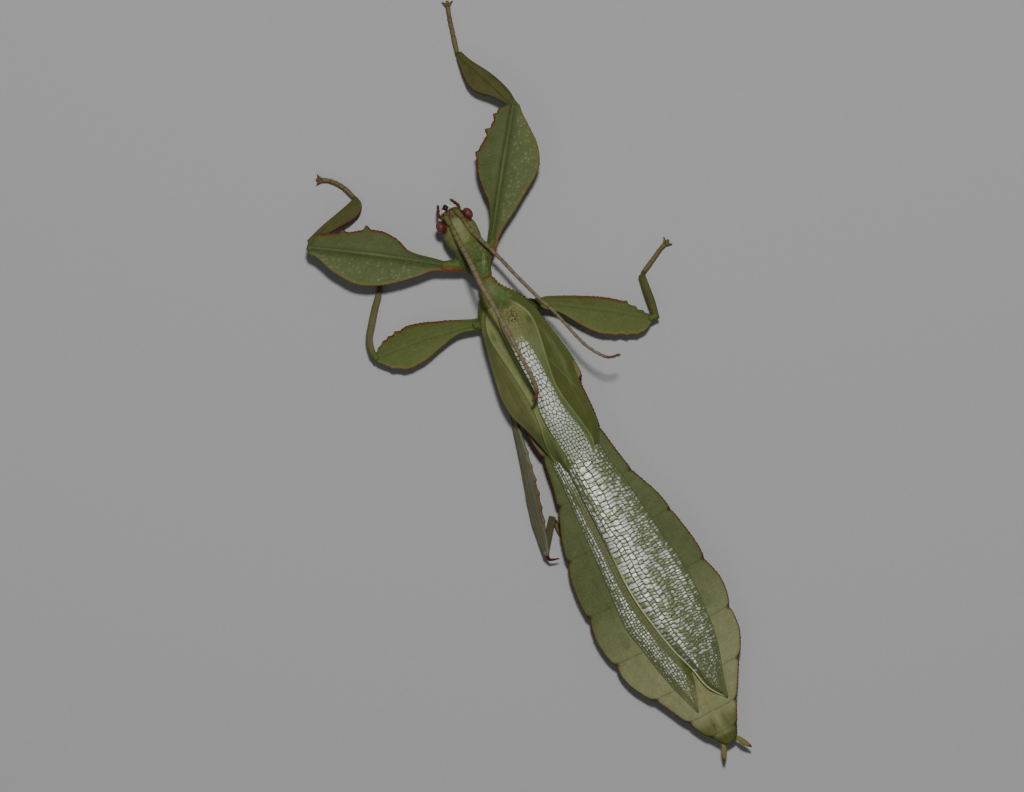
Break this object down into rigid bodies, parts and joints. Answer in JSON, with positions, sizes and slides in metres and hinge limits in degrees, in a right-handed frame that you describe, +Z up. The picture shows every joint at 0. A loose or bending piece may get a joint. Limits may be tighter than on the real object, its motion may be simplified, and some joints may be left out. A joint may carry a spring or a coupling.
{
  "type": "leaf insect",
  "caption": "Life-size leaf insect: flat leaf-shaped abdomen under netted wings, lobed toothed legs, small head with long hairy antennae.",
  "frame": {"origin": "bottom centre of the whole model's bounding box, on the ground under the feet", "axes": "+Z up, +Y from head to tail along the body, +X to the insect's own left"},
  "size_m": [0.038, 0.0936, 0.0101],
  "materials": {
    "body_green": "satin olive-green cuticle of head, thorax and hips",
    "abdomen_green": "satin leaf-green cuticle, yellower to the tail, thin red-brown margin",
    "eye": "glossy maroon compound eye",
    "palp": "dark red palps",
    "mouth_dark": "dark glossy mouthparts",
    "antenna": "taupe, finely hairy, tips dark red",
    "cercus": "yellow-green with red tips",
    "tegmen": "leathery dark olive fore wing with pale main vein and a shiny net",
    "hindwing": "glossy netted membrane over green",
    "femur_green": "satin green lobes with red-brown toothed edges",
    "tibia_olive": "olive shin",
    "tarsus_brown": "orange-brown foot joints and claws"
  },
  "bodies": {
    "root": {"head": "body_green", "mouthparts": "mouth_dark", "eye_left": "eye", "palp_left": "palp", "antenna_left": "antenna", "eye_right": "eye", "palp_right": "palp", "antenna_right": "antenna", "pronotum": "body_green", "mesothorax": "body_green", "metathorax": "body_green", "abdomen_2": "abdomen_green", "abdomen_3": "abdomen_green", "abdomen_4": "abdomen_green", "abdomen_5": "abdomen_green", "abdomen_6": "abdomen_green", "abdomen_7": "abdomen_green", "abdomen_8": "abdomen_green", "abdomen_9": "abdomen_green", "abdomen_10": "abdomen_green", "cercus_left": "cercus", "tegmen_left": "tegmen", "hindwing_left": "hindwing", "cercus_right": "cercus", "tegmen_right": "tegmen", "hindwing_right": "hindwing", "coxa_front_left": "body_green", "femur_front_left": "femur_green", "tibia_front_left": "tibia_olive", "tarsus_front_left": "tarsus_brown", "coxa_front_right": "body_green", "femur_front_right": "femur_green", "tibia_front_right": "tibia_olive", "tarsus_front_right": "tarsus_brown", "coxa_middle_left": "body_green", "femur_middle_left": "femur_green", "tibia_middle_left": "tibia_olive", "tarsus_middle_left": "tarsus_brown", "coxa_middle_right": "body_green", "femur_middle_right": "femur_green", "tibia_middle_right": "tibia_olive", "tarsus_middle_right": "tarsus_brown", "coxa_hind_left": "body_green", "femur_hind_left": "femur_green", "tibia_hind_left": "tibia_olive", "tarsus_hind_left": "tarsus_brown", "coxa_hind_right": "body_green", "femur_hind_right": "femur_green", "tibia_hind_right": "tibia_olive", "tarsus_hind_right": "tarsus_brown"}
  },
  "joints": []
}
